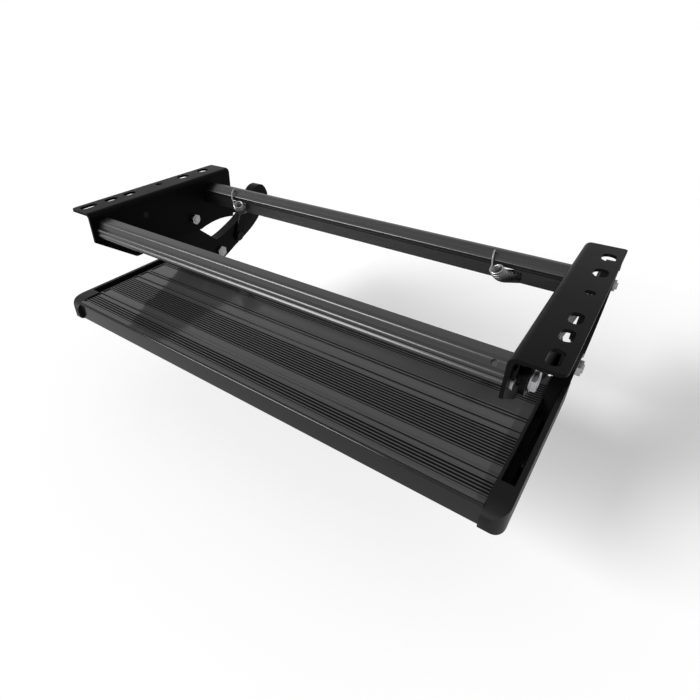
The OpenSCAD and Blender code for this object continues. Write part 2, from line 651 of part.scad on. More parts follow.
// Sideways and upwards from the coil's middle
function aside(s) = let (h = heading(s)) [h[1], -h[0], 0];
function above(s, a) = sin(a) * heading(s) + [0, 0, cos(a)];
hook_right = [[0, 0, -20.5], [0, 0, -18.3], [0, 0, -16.2], [0, -0.2, -14], [0.1, -1.2, -12.3],
    [0.3, -3.1, -11.6], [0.6, -5.6, -12.8], [1.1, -8.2, -15.4], [1.8, -10.6, -17.9], [3, -13.9, -19.8]];
hook_left = [[0, 0, -20.5], [0, 0, -18.3], [0, 0, -16.2], [0, -0.2, -14], [0.1, -1.2, -12.3],
    [0.4, -3.1, -11.6], [1.1, -5.6, -12.8], [2.1, -8.2, -15.4], [3.7, -10.6, -18], [6.8, -13.5, -20.6],
    [11, -16.6, -22], [15, -19.8, -22.4]];
loop_r = sleeve_r + wire_r + 0.45;
turns = 8 * curls;
function wire(s) = let (a1 = slope(s), c1 = aside(s), cw = cross(above(s, a1), c1), c2 = above(s, a1),
    end = axis(s, curl_pitch * curls, a1), tilt = 90 + atan2(cw[2], cw[1]),
    loop = [for (i = [0:11]) let (a = tilt - i * 24)
        [s * loop_x, pT[0] + loop_r * cos(a), pT[1] + loop_r * sin(a)]])
    concat(
        [for (p = s > 0 ? hook_right : hook_left) p + [hook_x(s), hook_y, 0]],
        [for (i = [0:turns]) let (d = curl_pitch * i / 8, a = 180 + 45 * i)
            axis(s, d, a1) + coil_r * (cos(a) * c1 + sin(a) * above(s, dip(d, a1)))],
        bez(end - coil_r * c1, end - coil_r * (c1 + 0.9 * c2), end + 3 * cw, end + 11 * cw, 6),
        bez(end + 20 * cw, end + 26 * cw, loop[0] - 9 * [0, sin(tilt), -cos(tilt)], loop[0], 6),
        [for (i = [1:11]) loop[i]],
        [loop[11] + 2.5 * unit(loop[11] - loop[10])]);
function dir_at(w, i) = unit(w[min(i + 1, len(w) - 1)] - w[max(i - 1, 0)]);
// Each ring's sideways direction is the last one's, squared to the wire
function frames(w, i, s) = i == len(w) ? [] : let (d = dir_at(w, i), q = unit(s - (s * d) * d))
    concat([q], frames(w, i + 1, q));
module spring_form(w) let (f = frames(w, 0, [1, 0, 0]), m = len(w)) polyhedron(
    points = [for (i = [0:m - 1]) for (j = [0:5]) let (d = dir_at(w, i))
        w[i] + wire_r * (cos(60 * j) * f[i] + sin(60 * j) * cross(d, f[i]))],
    faces = concat(
        [for (j = [1:4]) [0, j, j + 1]],
        [for (i = [0:m - 2]) for (j = [0:5]) let (a = 6 * i + j, b = 6 * i + (j + 1) % 6) each
            [[a, a + 6, b + 6], [a, b + 6, b]]],
        [for (j = [1:4]) [6 * (m - 1), 6 * (m - 1) + j + 1, 6 * (m - 1) + j]]));
wire_left = wire(-1);
wire_right = wire(1);
module spring_left() color("silver") mid() spring_form(wire_left);
module spring_right() color("silver") mid() spring_form(wire_right);
// Each wire's least gap to itself, between points half a curl or more apart
function self_gap(w) = min([for (i = [0:len(w) - 5], k = [i + 4:len(w) - 1]) norm(w[i] - w[k])]) - 2 * wire_r;
echo(gap_left = self_gap(wire_left), gap_right = self_gap(wire_right));
echo(stop_sleeve_r = stop_sleeve_r, buffer_r = buffer_r, slope_right = slope(1), slope_left = slope(-1));

bracket_left();
bracket_right();
cross_front();
cross_rear();
cross_screws();
cross_studs();
arm_pins();
arm_collars();
arm_washers();
arm_nuts();
link_pins();
link_collars();
stop_bolts();
stop_sleeves();
stop_nuts();
arm_left();
arm_right();
arm_bushes();
link_left();
link_right();
tread();
cap_left();
cap_right();
carrier_left();
carrier_right();
carrier_bolts();
carrier_spacers();
carrier_washers();
carrier_nuts();
link_rivets();
tail_bolts();
tail_sleeves();
tail_buffers();
tail_washers();
tail_nuts();
carrier_screws();
spring_left();
spring_right();
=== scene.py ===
import json
import math

import bpy
from bpy.props import FloatProperty, FloatVectorProperty, PointerProperty
from mathutils import Matrix, Vector

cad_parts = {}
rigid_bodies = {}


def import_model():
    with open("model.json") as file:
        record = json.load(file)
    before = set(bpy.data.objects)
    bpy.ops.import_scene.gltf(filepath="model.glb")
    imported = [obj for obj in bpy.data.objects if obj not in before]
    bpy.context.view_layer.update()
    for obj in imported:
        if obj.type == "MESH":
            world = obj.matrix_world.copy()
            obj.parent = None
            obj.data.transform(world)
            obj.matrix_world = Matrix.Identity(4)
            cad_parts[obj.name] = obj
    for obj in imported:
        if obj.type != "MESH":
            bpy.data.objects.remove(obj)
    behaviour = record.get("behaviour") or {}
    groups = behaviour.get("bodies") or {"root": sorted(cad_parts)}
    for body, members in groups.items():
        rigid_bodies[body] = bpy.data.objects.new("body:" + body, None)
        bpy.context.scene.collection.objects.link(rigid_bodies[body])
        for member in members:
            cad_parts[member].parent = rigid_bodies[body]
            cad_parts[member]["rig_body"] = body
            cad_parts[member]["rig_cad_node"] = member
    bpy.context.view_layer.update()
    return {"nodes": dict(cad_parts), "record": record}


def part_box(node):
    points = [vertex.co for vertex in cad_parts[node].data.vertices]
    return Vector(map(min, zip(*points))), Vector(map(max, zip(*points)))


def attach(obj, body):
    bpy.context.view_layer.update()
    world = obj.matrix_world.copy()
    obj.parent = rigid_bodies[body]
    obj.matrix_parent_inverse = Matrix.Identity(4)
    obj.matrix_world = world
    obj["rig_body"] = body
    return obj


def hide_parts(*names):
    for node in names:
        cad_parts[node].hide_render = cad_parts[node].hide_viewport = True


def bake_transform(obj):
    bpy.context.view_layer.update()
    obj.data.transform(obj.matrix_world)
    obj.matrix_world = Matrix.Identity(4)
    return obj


bl_info = {
    "name": "Folding step",
    "version": (1, 0, 0),
    "blender": (4, 5, 0),
    "location": "View3D > Sidebar > Folding Step",
    "description": "Builds the visible pieces and finishes of a stowed folding entry step",
    "category": "Object",
}

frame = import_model()
NODES = frame["nodes"]
BODY_OF = {name: node["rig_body"] for name, node in NODES.items()}
MM = 0.001


# Sizes and colours that a user would change


class StepSizes(bpy.types.PropertyGroup):
    sheet_edge: FloatProperty(
        name="Sheet edge", description="Rounding of the cut edges of the brackets",
        default=0.0007, min=0.0002, max=0.0012, unit="LENGTH")
    bar_edge: FloatProperty(
        name="Bar edge", description="Rounding of the edges of arms, links and carriers",
        default=0.0008, min=0.0002, max=0.0012, unit="LENGTH")
    moulded_edge: FloatProperty(
        name="Moulded edge", description="Rounding of the edges of the end caps",
        default=0.0009, min=0.0002, max=0.0015, unit="LENGTH")
    rib_edge: FloatProperty(
        name="Rib edge", description="Rounding of the ribs and edges of the extrusions",
        default=0.00022, min=0.0001, max=0.0004, unit="LENGTH")
    turned_edge: FloatProperty(
        name="Turned edge", description="Rounding of bolt heads, washers and collars",
        default=0.0004, min=0.0001, max=0.0005, unit="LENGTH")
    wire: FloatProperty(
        name="Spring wire", description="Radius of the spring wire",
        default=0.00095, min=0.0008, max=0.00095, unit="LENGTH")


class StepColours(bpy.types.PropertyGroup):
    coat: FloatVectorProperty(
        name="Powder coat", description="Colour of the coated brackets", subtype="COLOR",
        size=3, min=0, max=1, default=(0.0035, 0.0035, 0.0036))
    paint: FloatVectorProperty(
        name="Bar paint", description="Colour of the painted arms, links and carriers",
        subtype="COLOR", size=3, min=0, max=1, default=(0.0035, 0.0035, 0.0036))
    anodised: FloatVectorProperty(
        name="Anodising", description="Colour of the anodised extrusions", subtype="COLOR",
        size=3, min=0, max=1, default=(0.005, 0.005, 0.0052))
    plastic: FloatVectorProperty(
        name="Cap plastic", description="Colour of the moulded end caps", subtype="COLOR",
        size=3, min=0, max=1, default=(0.006, 0.006, 0.0062))
    zinc: FloatVectorProperty(
        name="Zinc plate", description="Colour of the plated bolts, nuts and washers",
        subtype="COLOR", size=3, min=0, max=1, default=(0.34, 0.34, 0.35))
    wire: FloatVectorProperty(
        name="Spring wire", description="Colour of the bright spring wire", subtype="COLOR",
        size=3, min=0, max=1, default=(0.28, 0.28, 0.285))
    floor: FloatVectorProperty(
        name="Floor", description="Colour of the floor before it is lifted", subtype="COLOR",
        size=3, min=0, max=1, default=(0.8, 0.8, 0.8))


def sizes():
    return bpy.context.scene.step_sizes


def colours():
    return bpy.context.scene.step_colours


# Finishes

# Painted shade for the groove floors and rib sides of the tread
GROOVE_SHADE_COLOUR = (0.002, 0.002, 0.002)
BLACKED_COLOUR = (0.004, 0.004, 0.0042)
RUBBER_COLOUR = (0.012, 0.012, 0.012)
BRASS_COLOUR = (0.55, 0.4, 0.18)
# Noise drawn out into lines along X, as a die leaves them
ALONG_X = (0.002, 1, 1)
# Pointiness at which an edge starts to show wear and a painted highlight, and shows them fully
EDGE_FROM, EDGE_FULL = 0.53, 0.6
# Upward part of the normal at which painted light starts to grey the tread, and greys it fully
TOP_FROM, TOP_FULL = 0.85, 0.98
# How much lighter the painted light makes the tread's upward faces
TOP_PAINTED_LIGHT = 11
# The wire is bright above the first height and darkened by painted shade below the second
WIRE_BRIGHT_ABOVE = -25 * MM
WIRE_DARK_BELOW = -34 * MM
# How dark the painted shade leaves the coil, as a share of the wire's colour
PAINTED_COIL_SHADE = 0.12


def times(colour, factor):
    return [min(1, c * factor) for c in colour]


class Finish:
    """A material's node tree, with short ways to add to it."""

    def __init__(self, name, colour, rough, metallic=0.0, specular=0.5):
        self.material = bpy.data.materials.new(name)
        self.material.use_nodes = True
        self.tree = self.material.node_tree
        self.shader = self.tree.nodes["Principled BSDF"]
        self.shader.inputs["Base Color"].default_value = (*colour, 1)
        self.shader.inputs["Roughness"].default_value = rough
        self.shader.inputs["Metallic"].default_value = metallic
        self.shader.inputs["Specular IOR Level"].default_value = specular
        self.place = self.tree.nodes.new("ShaderNodeTexCoord").outputs["Object"]

    def node(self, kind, **values):
        made = self.tree.nodes.new(kind)
        for key, value in values.items():
            if key in made.inputs:
                made.inputs[key].default_value = value
            else:
                setattr(made, key, value)
        return made

    def link(self, source, target):
        self.tree.links.new(source, target)

    def noise(self, scale, detail=3.0, stretch=(1, 1, 1)):
        mapping = self.node("ShaderNodeMapping", Scale=stretch)
        self.link(self.place, mapping.inputs["Vector"])
        made = self.node("ShaderNodeTexNoise", Scale=scale, Detail=detail)
        self.link(mapping.outputs["Vector"], made.inputs["Vector"])
        return made.outputs["Fac"]

    def upward(self, vector):
        """The Z part of a vector."""
        split = self.node("ShaderNodeSeparateXYZ")
        self.link(vector, split.inputs["Vector"])
        return split.outputs["Z"]

    def between(self, source, low, high, source_low=0.35, source_high=0.65):
        """low to high as the source goes from source_low to source_high."""
        made = self.node("ShaderNodeMapRange")
        made.inputs["From Min"].default_value = source_low
        made.inputs["From Max"].default_value = source_high
        made.inputs["To Min"].default_value = low
        made.inputs["To Max"].default_value = high
        self.link(source, made.inputs["Value"])
        return made.outputs["Result"]

    def roughness(self, source, low, high):
        self.link(self.between(source, low, high), self.shader.inputs["Roughness"])

    def shade(self, source, colour, low, high):
        """Base colour between two shades of one colour."""
        mix = self.node("ShaderNodeMix", data_type="RGBA")
        mix.inputs["A"].default_value = (*times(colour, low), 1)
        mix.inputs["B"].default_value = (*times(colour, high), 1)
        self.link(source, mix.inputs["Factor"])
        self.link(mix.outputs["Result"], self.shader.inputs["Base Color"])

    def towards(self, factor, colour):
        """Takes the shaded base colour to another one as factor goes from 0 to 1."""
        shaded = self.shader.inputs["Base Color"].links[0].from_socket
        mix = self.node("ShaderNodeMix", data_type="RGBA")
        self.link(factor, mix.inputs["Factor"])
        self.link(shaded, mix.inputs["A"])
        mix.inputs["B"].default_value = (*colour, 1)
        self.link(mix.outputs["Result"], self.shader.inputs["Base Color"])

    def worn_and_highlit_edges(self, colour, factor):
        """factor times the colour on sharp outer edges, as edge wear and a painted highlight.
        """
        pointed = self.node("ShaderNodeNewGeometry").outputs["Pointiness"]
        self.towards(self.between(pointed, 0, 1, EDGE_FROM, EDGE_FULL), times(colour, factor))

    def bump(self, height, strength, distance, below=None):
        made = self.node("ShaderNodeBump", Strength=strength, Distance=distance)
        self.link(height, made.inputs["Height"])
        if below is not None:
            self.link(below, made.inputs["Normal"])
        self.link(made.outputs["Normal"], self.shader.inputs["Normal"])
        return made.outputs["Normal"]


def powder_coat():
    """Satin black coat with a fine orange peel."""
    colour = colours().coat
    f = Finish("powder_coat", colour, rough=0.42, specular=0.03)
    patches = f.noise(scale=14, detail=4)
    f.shade(patches, colour, low=0.85, high=1.2)
    f.roughness(patches, low=0.34, high=0.42)
    peel = f.bump(f.noise(scale=900, detail=2), strength=0.10, distance=0.0004)
    f.bump(f.noise(scale=90, detail=2), strength=0.06, distance=0.0008, below=peel)
    return f.material


def bar_paint():
    """Semi-gloss black paint on cut plate."""
    colour = colours().paint
    f = Finish("bar_paint", colour, rough=0.33, specular=0.04)
    f.shade(f.noise(scale=20), colour, low=0.8, high=1.25)
    # Edge wear and a painted highlight on the sharp edges
    f.worn_and_highlit_edges(colour, factor=2.5)
    f.roughness(f.noise(scale=30, detail=4), low=0.28, high=0.38)
    f.bump(f.noise(scale=500, detail=2), strength=0.08, distance=0.0004)
    return f.material


def drawn(name, rough_low, rough_high, specular):
    """Black anodised aluminium, with faint draw lines along its length."""
    colour = colours().anodised
    f = Finish(name, colour, rough=rough_high, specular=specular)
    lines = f.noise(scale=1600, detail=2, stretch=ALONG_X)
    f.shade(f.between(lines, 0, 1), colour, low=0.9, high=1.1)
    # Edge wear and a painted highlight on the sharp edges
    f.worn_and_highlit_edges(colour, factor=2.0)
    f.roughness(lines, rough_low, rough_high)
    f.bump(lines, strength=0.03, distance=0.0002)
    return f


def anodised():
    return drawn("anodised", rough_low=0.27, rough_high=0.32, specular=0.5).material


def tread_top():
    """Smoother than the cross-members, and painted lighter where it faces up, as painted
    light.
    """
    f = drawn("tread_anodised", rough_low=0.08, rough_high=0.12, specular=0.2)
    normal = f.upward(f.node("ShaderNodeNewGeometry").outputs["Normal"])
    # Painted light: the faces that look up are painted greyer
    f.towards(f.between(normal, 0, 1, TOP_FROM, TOP_FULL), times(colours().anodised, TOP_PAINTED_LIGHT))
    return f.material


def painted_groove_shade():
    """Painted shade: a dull black for the grooves between the grip ribs, where shade falls."""
    f = Finish("painted_groove_shade", GROOVE_SHADE_COLOUR, rough=0.6, specular=0.08)
    f.shade(f.noise(scale=40), GROOVE_SHADE_COLOUR, low=0.8, high=1.3)
    f.bump(f.noise(scale=900, detail=2), strength=0.1, distance=0.0002)
    return f.material


def cap_plastic():
    """Moulded black plastic with a fine eroded grain."""
    colour = colours().plastic
    f = Finish("cap_plastic", colour, rough=0.45, specular=0.12)
    grain = f.noise(scale=1500)
    f.shade(f.noise(scale=25), colour, low=0.85, high=1.2)
    f.roughness(grain, low=0.4, high=0.52)
    f.bump(grain, strength=0.16, distance=0.0003)
    return f.material


def plated(name, colour, rough):
    """Bright plated metal with stains and light scratches."""
    f = Finish(name, colour, rough, metallic=1.0)
    stains = f.noise(scale=120, detail=4)
    f.shade(f.between(stains, 0, 1), colour, low=0.78, high=1.1)
    f.roughness(stains, low=rough * 0.75, high=rough * 1.4)
    f.bump(f.noise(scale=1200), strength=0.08, distance=0.0003)
    return f.material


def spring_wire():
    """Drawn wire, bright at the hook and darkened by painted shade down the coil."""
    colour = colours().wire
    f = Finish("spring_wire", colour, rough=0.28, metallic=1.0)
    f.shade(f.noise(scale=120, detail=4), colour, low=0.8, high=1.1)
    # Painted shade on the coil below the hook
    coil_shade_mask = f.between(f.upward(f.place), 1, 0, WIRE_DARK_BELOW, WIRE_BRIGHT_ABOVE)
    f.towards(coil_shade_mask, times(colour, PAINTED_COIL_SHADE))
    f.bump(f.noise(scale=1200), strength=0.08, distance=0.0003)
    return f.material


def blacked_steel():
    """Oiled black finish of the collars and heads."""
    f = Finish("blacked_steel", BLACKED_COLOUR, rough=0.36, specular=0.1)
    f.shade(f.noise(scale=150, detail=4), BLACKED_COLOUR, low=0.7, high=1.4)
    f.bump(f.noise(scale=1400), strength=0.1, distance=0.0003)
    return f.material


def buffer_rubber():
    """Matt black rubber of the buffers."""
    f = Finish("buffer_rubber", RUBBER_COLOUR, rough=0.7)
    f.shade(f.noise(scale=200), RUBBER_COLOUR, low=0.8, high=1.3)
    f.bump(f.noise(scale=1600), strength=0.2, distance=0.0004)
    return f.material


FINISHES = {
    "bracket_paint": powder_coat,
    "arm_paint": bar_paint,
    "black_anodised": anodised,
    "zinc": lambda: plated("zinc_plate", colours().zinc, rough=0.3),
    "black_steel": blacked_steel,
    "bush_brass": lambda: plated("bush_brass", BRASS_COLOUR, rough=0.35),
    "cap_plastic": cap_plastic,
    "buffer_rubber": buffer_rubber,
    "spring_steel": spring_wire,
}
SLOT_OF = {part["node"]: part["material_slot"] for part in frame["record"]["subparts"]}
made_finishes = {}


def paint(piece, slot):
    if slot not in made_finishes:
        made_finishes[slot] = FINISHES[slot]()
    piece.data.materials.clear()
    piece.data.materials.append(made_finishes[slot])


# Helpers for pieces

MERGE_WITHIN = 0.01 * MM
FLAT_WITHIN = math.radians(0.4)


def deselect():
    bpy.ops.object.select_all(action="DESELECT")


def pick(piece):
    deselect()
    piece.select_set(True)
    bpy.context.view_layer.objects.active = piece


def edit(piece):
    pick(piece)
    bpy.ops.object.mode_set(mode="EDIT")
    bpy.ops.mesh.select_all(action="SELECT")


def done():
    bpy.ops.object.mode_set(mode="OBJECT")


def copy_of(node, name):
    """A merged copy of a CAD node, with the facets of its flat faces joined."""
    piece = NODES[node].copy()
    piece.data = NODES[node].data.copy()
    piece.name = name
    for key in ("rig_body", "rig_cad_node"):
        del piece[key]
    piece.parent = None
    bpy.context.scene.collection.objects.link(piece)
    edit(piece)
    bpy.ops.mesh.remove_doubles(threshold=MERGE_WITHIN)
    bpy.ops.mesh.customdata_custom_splitnormals_clear()
    bpy.ops.mesh.dissolve_limited(angle_limit=FLAT_WITHIN, delimit={"NORMAL"})
    done()
    return piece


def round_edges(piece, width, segments=2, angle=30):
    """Bevels the edges sharper than angle degrees, and keeps the flat faces flat."""
    pick(piece)
    bevel = piece.modifiers.new("round_edges", "BEVEL")
    bevel.width = width
    bevel.segments = segments
    bevel.limit_method = "ANGLE"
    bevel.angle_limit = math.radians(angle)
    bevel.use_clamp_overlap = True
    bpy.ops.object.modifier_apply(modifier=bevel.name)
    bpy.ops.object.shade_smooth_by_angle(angle=math.radians(angle))
    flat = piece.modifiers.new("flat_faces", "WEIGHTED_NORMAL")
    flat.keep_sharp = True
    bpy.ops.object.modifier_apply(modifier=flat.name)


def stand_for(piece, *nodes, painted=False):
    """The piece takes the nodes' place, and their finish too unless it has its own."""
    if not painted:
        paint(piece, SLOT_OF[nodes[0]])
    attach(piece, BODY_OF[nodes[0]])
    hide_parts(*nodes)


def rounded(node, width, segments=2, angle=30):
    piece = copy_of(node, node + "_piece")
    round_edges(piece, width, segments, angle)
    stand_for(piece, node)
    return piece


# Heights of the tread's surface and of its rib tops, and the widest narrow groove
RIB_FOOT_Z = -108.39 * MM
RIB_TOP_Z = -107.49 * MM
GROOVE_WIDTH = 2.3 * MM
NEAR = 0.05 * MM


def paint_groove_shade(tread):
    """Gives the floors of the narrow grooves and the sides of the ribs their own finish, a
    painted shade.
    """
    tread.data.materials.clear()
    for finish in (tread_top(), painted_groove_shade()):
        tread.data.materials.append(finish)
    for face in tread.data.polygons:
        corners = [tread.data.vertices[i].co for i in face.vertices]
        across = [corner.y for corner in corners]
        low, high = min(c.z for c in corners), max(c.z for c in corners)
        in_ribs = abs(low - RIB_FOOT_Z) < NEAR and high < RIB_TOP_Z + NEAR
        if in_ribs and max(across) - min(across) < GROOVE_WIDTH:
            # This face gets the painted shade
            face.material_index = 1


# Nuts

# 1 where the open face looks away from the middle of the step, -1 where it looks to it
NUT_FACES = {"arm_nuts": 1, "carrier_nuts": 1, "tail_nuts": 1, "stop_nuts": -1}
CHAMFER = math.radians(60)
# Radius of the round face, as a share of half the width across flats
ROUND_FACE = 0.98
CONE_SIDES = 96
NUT_EDGE_SHARE = 1 / 3
NUT_EDGE_ANGLE = 25


def chamfered_nuts(node, face):
    """Nuts on both sides of the step, with the corners of their open faces turned off."""
    piece = copy_of(node, node + "_piece")
    low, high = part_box(node)
    reach = sorted(abs(v.co.x) for v in piece.data.vertices)
    open_x = reach[-1] if face > 0 else reach[0]
    depth = reach[-1] - reach[0] + MM
    flat = (high.y - low.y) / 2 * ROUND_FACE
    middle_y, middle_z = (low.y + high.y) / 2, (low.z + high.z) / 2
    deselect()
    cones = []
    for side in (-1, 1):
        bpy.ops.mesh.primitive_cone_add(
            vertices=CONE_SIDES, depth=depth,
            radius1=flat + depth * math.tan(CHAMFER), radius2=flat,
            location=(side * (open_x - face * depth / 2), middle_y, middle_z),
            rotation=(0, side * face * math.pi / 2, 0))
        cones.append(bpy.context.active_object)
    for cone in cones:
        cone.select_set(True)
    bpy.ops.object.join()
    cones = bpy.context.active_object
    pick(piece)
    cut = piece.modifiers.new("chamfer", "BOOLEAN")
    cut.operation = "INTERSECT"
    cut.solver = "EXACT"
    cut.object = cones
    bpy.ops.object.modifier_apply(modifier=cut.name)
    pick(cones)
    bpy.ops.object.delete()
    round_edges(piece, sizes().turned_edge * NUT_EDGE_SHARE, angle=NUT_EDGE_ANGLE)
    stand_for(piece, node)


# Springs, in millimetres from the frame's origin; side is 1 on the right and -1 on the left

COIL_START = {1: Vector((180.4, 47, -21.5)), -1: Vector((-168, 47, -22.5))}
HOOK_AT = {1: Vector((170.7, 67.5, 0)), -1: Vector((-192, 67.5, 0))}
# The wire's way from the hook's end to the coil, as steps from HOOK_AT
HOOK_TOP = ((0, 0, -20.5), (0, 0, -18.3), (0, 0, -16.2), (0, -0.2, -14), (0.1, -1.2, -12.3))
HOOK_BENDS = {
    1: (*HOOK_TOP, (0.3, -3.1, -11.6), (0.6, -5.6, -12.8), (1.1, -8.2, -15.4),
        (1.8, -10.6, -17.9), (3, -13.9, -19.8)),
    -1: (*HOOK_TOP, (0.4, -3.1, -11.6), (1.1, -5.6, -12.8), (2.1, -8.2, -15.4),
         (3.7, -10.6, -18), (6.8, -13.5, -20.6), (11, -16.6, -22), (15, -19.8, -22.4)),
}
COIL_R = 6
CURLS = 30
CURL_STEPS = 8
PITCH = 3.2
# The coil starts this steep, and bends over this radius to the slope that meets the tail bolt
STEEP = math.radians(60)
BEND_R = 27
FIRST_SLOPE = 0.26
SLOPE_ROUNDS = 6
# Middle of the tail sleeve, and the loop round it
TAIL_X = 252.1
TAIL = Vector((0, 192.97, -75.99))
LOOP_R = 6.8
LOOP_STEP = math.radians(24)
LOOP_POINTS = 12
# The straight stretch between coil and loop, and how far its ends' curves reach
STRAIGHT_FROM, STRAIGHT_TO = 11, 20
COIL_PULL = 0.9
BEFORE_STRAIGHT, AFTER_STRAIGHT, LOOP_PULL = 3, 26, 9
BEND_STEPS = 6
SMOOTH_STEPS = 4


def arc_to(a, b, c, d, parts):
    """Points on a cubic curve, both ends included."""
    made = []
    for i in range(parts + 1):
        t = i / parts
        u = 1 - t
        made.append(u ** 3 * a + 3 * t * u * u * b + 3 * t * t * u * c + t ** 3 * d)
    return made


def smoothed(points, parts):
    """A smooth line through the points, with parts steps from each to the next."""
    ends = [2 * points[0] - points[1], *points, 2 * points[-1] - points[-2]]
    line = []
    for before, a, b, after in zip(ends, ends[1:], ends[2:], ends[3:]):
        leave, arrive = (b - before) / 6, (after - a) / 6
        line += arc_to(a, a + leave, b - arrive, b, parts)[:-1]
    return line + [points[-1]]


def spring_line(side):
    """The wire's middle, from its hook through the coil to the loop on the tail sleeve."""
    start = COIL_START[side]
    tail = Vector((side * TAIL_X, TAIL.y, TAIL.z))
    ahead = Vector((tail.x - start.x, tail.y - start.y, 0))
    run, drop = ahead.length, start.z - tail.z
    ahead.normalize()
    aside = Vector((ahead.y, -ahead.x, 0))
    slope = FIRST_SLOPE
    for _ in range(SLOPE_ROUNDS):
        slope = math.atan2(drop - BEND_R * (math.cos(slope) - math.cos(STEEP)),
                           run - BEND_R * (math.sin(STEEP) - math.sin(slope)))

    def above(dip):
        return math.sin(dip) * ahead + Vector((0, 0, math.cos(dip)))

    def middle(far):
        dip = max(slope, STEEP - far / BEND_R)
        past = max(0, far - BEND_R * (STEEP - slope))
        level = BEND_R * (math.sin(STEEP) - math.sin(dip)) + past * math.cos(dip)
        down = BEND_R * (math.cos(dip) - math.cos(STEEP)) + past * math.sin(dip)
        return start + level * ahead - Vector((0, 0, down)), dip

    points = [HOOK_AT[side] + Vector(bend) for bend in HOOK_BENDS[side]]
    for i in range(CURL_STEPS * CURLS + 1):
        place, dip = middle(PITCH * i / CURL_STEPS)
        turn = math.pi + i * 2 * math.pi / CURL_STEPS
        points.append(place + COIL_R * (math.cos(turn) * aside + math.sin(turn) * above(dip)))
    end, up = middle(PITCH * CURLS)[0], above(slope)
    along = up.cross(aside)
    tilt = math.pi / 2 + math.atan2(along.z, along.y)
    loop = []
    for i in range(LOOP_POINTS):
        angle = tilt - i * LOOP_STEP
        loop.append(tail + LOOP_R * Vector((0, math.cos(angle), math.sin(angle))))
    arriving = Vector((0, math.sin(tilt), -math.cos(tilt)))
    points += arc_to(end - COIL_R * aside, end - COIL_R * (aside + COIL_PULL * up),
                     end + BEFORE_STRAIGHT * along, end + STRAIGHT_FROM * along, BEND_STEPS)
    points += arc_to(end + STRAIGHT_TO * along, end + AFTER_STRAIGHT * along,
                     loop[0] - LOOP_PULL * arriving, loop[0], BEND_STEPS)
    points += loop[1:]
    return smoothed(points, SMOOTH_STEPS)


def wound_spring(side, node):
    """One spring as a round wire, whose hook stays in the rear cross-member."""
    line = [point * MM for point in spring_line(side)]
    curve = bpy.data.curves.new(node + "_piece", "CURVE")
    curve.dimensions = "3D"
    curve.bevel_depth = sizes().wire
    curve.bevel_resolution = 3
    curve.use_fill_caps = True
    spline = curve.splines.new("POLY")
    spline.points.add(len(line) - 1)
    for point, place in zip(spline.points, line):
        point.co = (*place, 1)
    piece = bpy.data.objects.new(curve.name, curve)
    bpy.context.scene.collection.objects.link(piece)
    pick(piece)
    bpy.ops.object.convert(target="MESH")
    piece = bpy.context.active_object
    bpy.ops.object.shade_smooth()
    paint(piece, SLOT_OF[node])
    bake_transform(piece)
    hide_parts(node)


# Operators, one for each piece or group of like pieces

TURNED_ANGLE = 40


class STEP_OT_brackets(bpy.types.Operator):
    """Coated side brackets with rounded cut edges"""
    bl_idname = "step.brackets"
    bl_label = "Side brackets"

    def execute(self, context):
        for node in ("bracket_left", "bracket_right"):
            rounded(node, sizes().sheet_edge, segments=3)
        return {"FINISHED"}


class STEP_OT_cross_members(bpy.types.Operator):
    """Extruded cross-members"""
    bl_idname = "step.cross_members"
    bl_label = "Cross-members"

    def execute(self, context):
        for node in ("cross_front", "cross_rear"):
            rounded(node, sizes().rib_edge)
        return {"FINISHED"}


class STEP_OT_bars(bpy.types.Operator):
    """Swing arms, control links and carrier arms"""
    bl_idname = "step.bars"
    bl_label = "Arms, links and carriers"

    def execute(self, context):
        for node in ("arm", "link", "carrier"):
            for side in ("left", "right"):
                rounded(f"{node}_{side}", sizes().bar_edge, segments=3)
        return {"FINISHED"}


class STEP_OT_tread(bpy.types.Operator):
    """Ribbed tread"""
    bl_idname = "step.tread"
    bl_label = "Tread"

    def execute(self, context):
        piece = copy_of("tread", "tread_piece")
        paint_groove_shade(piece)
        round_edges(piece, sizes().rib_edge)
        stand_for(piece, "tread", painted=True)
        return {"FINISHED"}


class STEP_OT_caps(bpy.types.Operator):
    """Moulded end caps"""
    bl_idname = "step.caps"
    bl_label = "End caps"

    def execute(self, context):
        for node in ("cap_left", "cap_right"):
            rounded(node, sizes().moulded_edge, segments=3)
        return {"FINISHED"}


class STEP_OT_fasteners(bpy.types.Operator):
    """Chamfered nuts, eased bolt heads, washers, collars, sleeves and buffers"""
    bl_idname = "step.fasteners"
    bl_label = "Fasteners"

    def execute(self, context):
        for node, face in NUT_FACES.items():
            chamfered_nuts(node, face)
        for node, piece in NODES.items():
            if not piece.hide_render:
                rounded(node, sizes().turned_edge, angle=TURNED_ANGLE)
        return {"FINISHED"}


class STEP_OT_springs(bpy.types.Operator):
    """Wound wire springs, from hook to loop"""
    bl_idname = "step.springs"
    bl_label = "Springs"

    def execute(self, context):
        for side, node in ((1, "spring_right"), (-1, "spring_left")):
            wound_spring(side, node)
        return {"FINISHED"}


class STEP_OT_stage(bpy.types.Operator):
    """Floor, lights and camera"""
    bl_idname = "step.stage"
    bl_label = "Stage"

    def execute(self, context):
        make_floor()
        make_lights()
        make_camera()
        return {"FINISHED"}


# Stage

WHITE = (1, 1, 1, 1)
# The floor is just below the lowered tread
FLOOR_Z = -0.258
FLOOR_SIZE = 80
# Glow of the floor where it is looked at, so that it reads white outside the shadow
FLOOR_LIFT = 0.24
WORLD_LIGHT = 0.35
SUN_POWER = 4.1
SUN_SPREAD = 30
SUN_FROM = (-0.85, -1.15, 0.78)
CAMERA_AT = (0.2963, -0.4186, 0.1987)
CAMERA_AZIMUTH = 37.53
CAMERA_ELEVATION = 32.97
CAMERA_ROLL = -1.36
FOCAL_PX = 494.7
CENTRE_PX = (303.6, 328.07)
PHOTO_PX = 700
SENSOR = 36
NEAREST = 0.01


